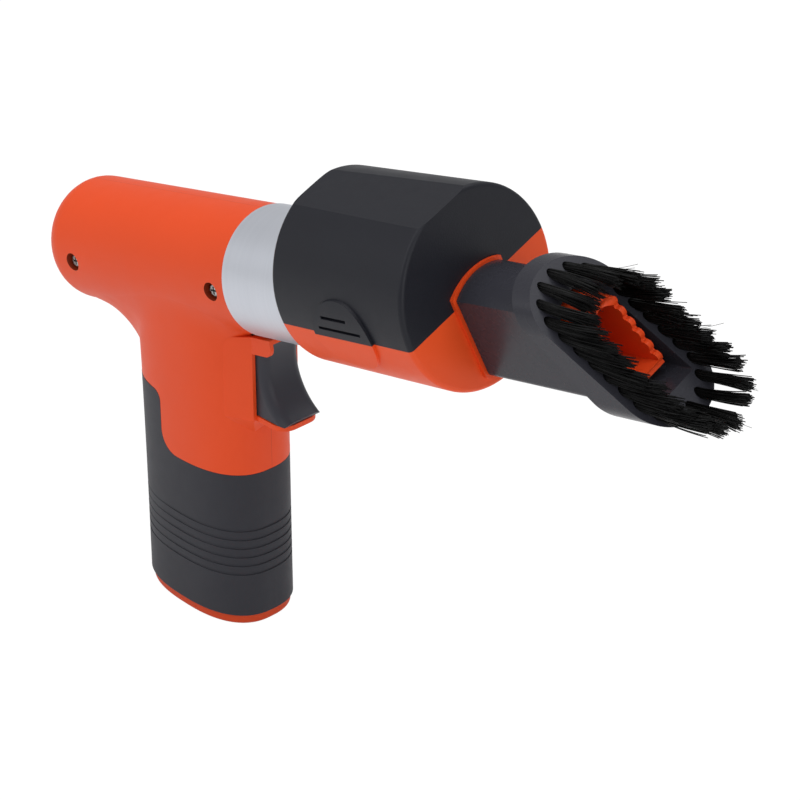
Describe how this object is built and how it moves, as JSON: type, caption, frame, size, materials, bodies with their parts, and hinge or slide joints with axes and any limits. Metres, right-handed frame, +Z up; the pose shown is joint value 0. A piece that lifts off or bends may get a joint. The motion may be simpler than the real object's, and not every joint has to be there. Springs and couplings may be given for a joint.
{
  "type": "handheld vacuum cleaner",
  "caption": "Cordless handheld vacuum with a pistol grip and trigger, a leaning round barrel, a two-tone dust cup and a slanted oval brush nozzle.",
  "frame": {"origin": "centre of the flat foot under the grip", "axes": "+X towards the nozzle, +Y to the left, +Z up along the grip"},
  "size_m": [0.3172, 0.0706, 0.2167],
  "materials": {
    "housing": "fine matt texture",
    "collar": "fine turned satin",
    "sleeve": "matt soft touch",
    "cup_black": "fine matt texture",
    "dark_satin": "satin",
    "bristle": "stiff nylon filament",
    "nickel_screw": "nickel plated",
    "steel": "bright",
    "cell_wrap": "satin film",
    "inner_plastic": "plain moulded",
    "board": "solder mask",
    "seal": "soft",
    "filter_paper": "pleated paper",
    "flap": "soft",
    "motor": "zinc plated"
  },
  "bodies": {
    "main": {"housing_left": "housing", "housing_right": "housing", "collar_ring": "collar", "handle_sleeve": "sleeve", "base_cap": "housing", "housing_screws": "nickel_screw", "motor_can": "motor", "motor_mount": "inner_plastic", "fan_shroud": "inner_plastic", "battery_cells": "cell_wrap", "battery_frame": "inner_plastic", "control_board": "board", "charge_socket": "inner_plastic", "trigger_switch": "inner_plastic", "trigger_spring": "steel", "bayonet_socket": "housing"},
    "trigger": {"trigger": "dark_satin"},
    "rotor": {"rotor_shaft": "steel", "impeller": "inner_plastic"},
    "filter_unit": {"filter_frame": "inner_plastic", "filter_seal": "seal", "filter_cage": "inner_plastic", "filter_media": "filter_paper"},
    "cup": {"cup_upper": "cup_black", "cup_lower": "housing", "cup_back": "inner_plastic", "crevice_nozzle": "housing"},
    "flap": {"inlet_flap": "flap", "flap_pin": "steel"},
    "brush": {"brush_head": "dark_satin", "bristle_tufts": "bristle"}
  },
  "joints": [
    {"name": "trigger_pull", "type": "slide", "parent": "main", "child": "trigger", "axis": [-1, 0, 0], "range_m": [0, 0.0045], "stiffness_N_per_m": 900, "springref_m": -0.0015, "deforming": ["trigger_spring"]},
    {"name": "rotor_spin", "type": "hinge", "parent": "main", "child": "rotor", "pos_m": [0.0356, 0, 0.1515], "axis": [0.9785, 0, 0.2062], "continuous": true},
    {"name": "cup_twist", "type": "hinge", "parent": "main", "child": "filter_unit", "pos_m": [0.0356, 0, 0.1515], "axis": [0.9785, 0, 0.2062], "range_deg": [-18, 0]},
    {"name": "cup_pull", "type": "slide", "parent": "filter_unit", "child": "cup", "axis": [0.9785, 0, 0.2062], "range_m": [0, 0.065]},
    {"name": "flap_swing", "type": "hinge", "parent": "cup", "child": "flap", "pos_m": [0.128, -0.00606, 0.18927], "axis": [-0.0661, 0.9472, 0.3137], "range_deg": [0, 35], "stiffness_Nm_per_rad": 0.002, "springref_deg": -11.46},
    {"name": "brush_pull", "type": "slide", "parent": "cup", "child": "brush", "axis": [0.9785, 0, 0.2062], "range_m": [0, 0.06]}
  ]
}
